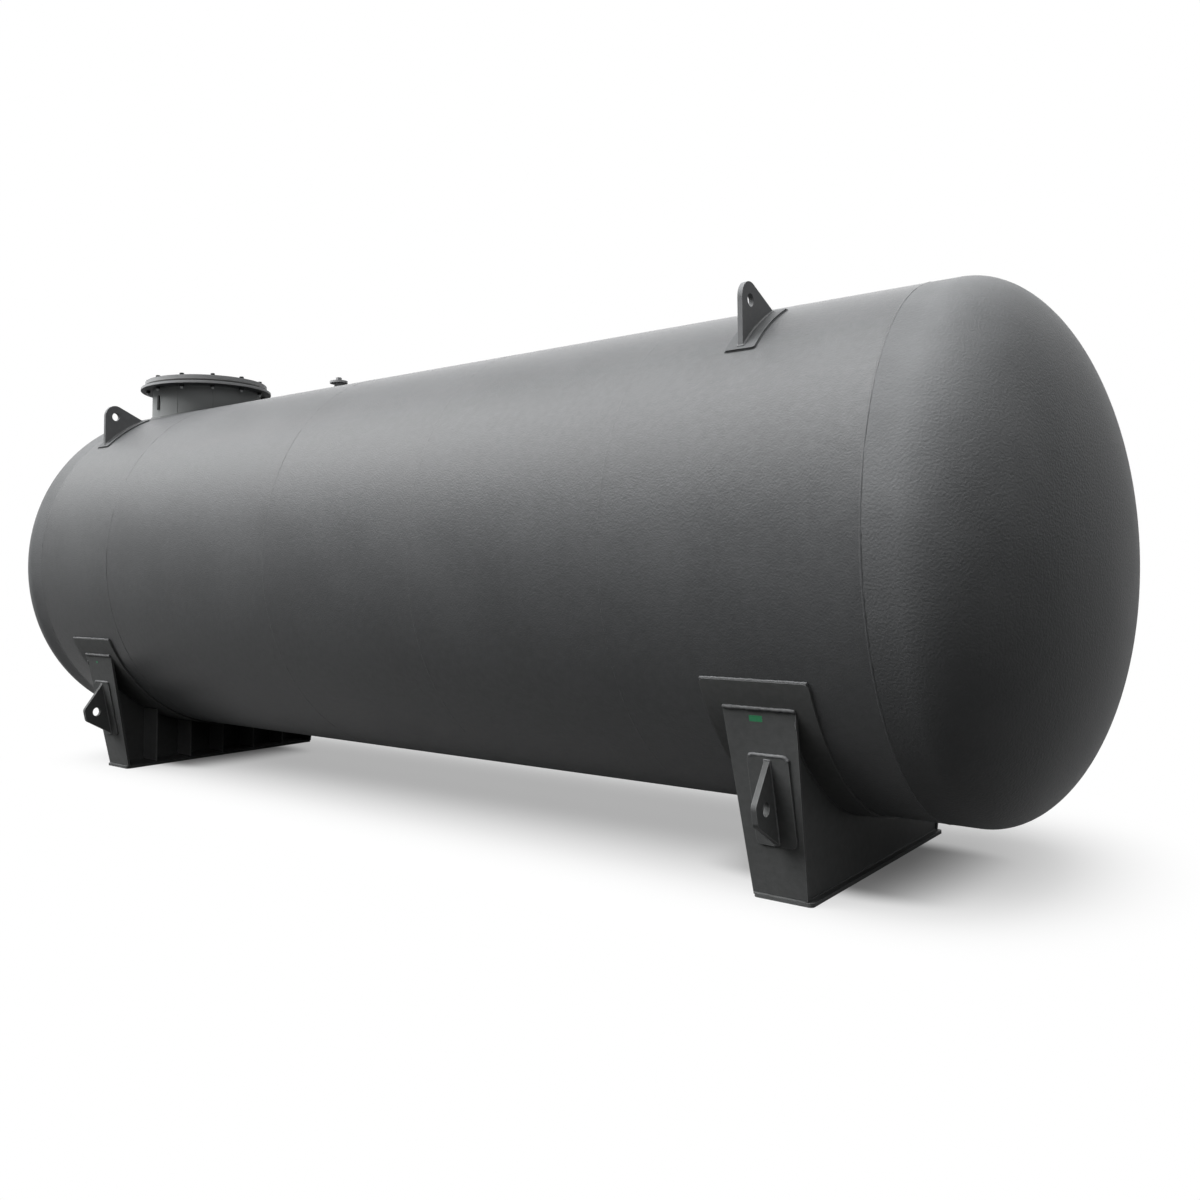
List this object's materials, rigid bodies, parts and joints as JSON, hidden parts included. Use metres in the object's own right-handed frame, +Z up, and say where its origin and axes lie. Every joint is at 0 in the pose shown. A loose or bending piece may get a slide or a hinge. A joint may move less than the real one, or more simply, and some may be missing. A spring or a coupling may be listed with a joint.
{
  "type": "horizontal pressure tank",
  "caption": "Horizontal cylindrical pressure tank with dished ends, a bolted crown manway, lifting lugs and two welded plate saddles.",
  "frame": {"origin": "on the ground under the middle of the tank's length", "axes": "+X along the tank towards the plain end, away from the manway; +Z up"},
  "size_m": [8.833, 2.9, 3.493],
  "materials": {
    "shell_coat": "semi-matt dark grey coating, lightly textured",
    "saddle_coat": "semi-matt dark grey coating, lightly textured",
    "lug_coat": "semi-matt dark grey coating",
    "fitting_coat": "semi-matt dark grey coating",
    "gasket_rubber": "black sheet gasket",
    "plug_steel": "dark coated plug"
  },
  "bodies": {
    "root": {"crown_nozzle": "fitting_coat", "crown_plug": "plug_steel", "front_far_lifting_lug": "lug_coat", "front_far_lug_pad": "lug_coat", "front_head": "shell_coat", "front_near_lifting_lug": "lug_coat", "front_near_lug_pad": "lug_coat", "front_saddle_base_plate": "saddle_coat", "front_saddle_far_doubler": "saddle_coat", "front_saddle_far_end_plate": "saddle_coat", "front_saddle_far_tie_down_eye": "saddle_coat", "front_saddle_near_doubler": "saddle_coat", "front_saddle_near_end_plate": "saddle_coat", "front_saddle_near_tie_down_eye": "saddle_coat", "front_saddle_rib_1": "saddle_coat", "front_saddle_rib_2": "saddle_coat", "front_saddle_rib_3": "saddle_coat", "front_saddle_rib_4": "saddle_coat", "front_saddle_rib_5": "saddle_coat", "front_saddle_wear_plate": "saddle_coat", "front_saddle_web": "saddle_coat", "manway_cover": "fitting_coat", "manway_flange": "fitting_coat", "manway_gasket": "gasket_rubber", "manway_neck": "fitting_coat", "rear_far_lifting_lug": "lug_coat", "rear_far_lug_pad": "lug_coat", "rear_head": "shell_coat", "rear_near_lifting_lug": "lug_coat", "rear_near_lug_pad": "lug_coat", "rear_saddle_base_plate": "saddle_coat", "rear_saddle_far_doubler": "saddle_coat", "rear_saddle_far_end_plate": "saddle_coat", "rear_saddle_far_tie_down_eye": "saddle_coat", "rear_saddle_near_doubler": "saddle_coat", "rear_saddle_near_end_plate": "saddle_coat", "rear_saddle_near_tie_down_eye": "saddle_coat", "rear_saddle_rib_1": "saddle_coat", "rear_saddle_rib_2": "saddle_coat", "rear_saddle_rib_3": "saddle_coat", "rear_saddle_rib_4": "saddle_coat", "rear_saddle_rib_5": "saddle_coat", "rear_saddle_wear_plate": "saddle_coat", "rear_saddle_web": "saddle_coat", "shell_course_1": "shell_coat", "shell_course_2": "shell_coat", "shell_course_3": "shell_coat", "shell_course_4": "shell_coat", "shell_course_5": "shell_coat"}
  },
  "joints": []
}
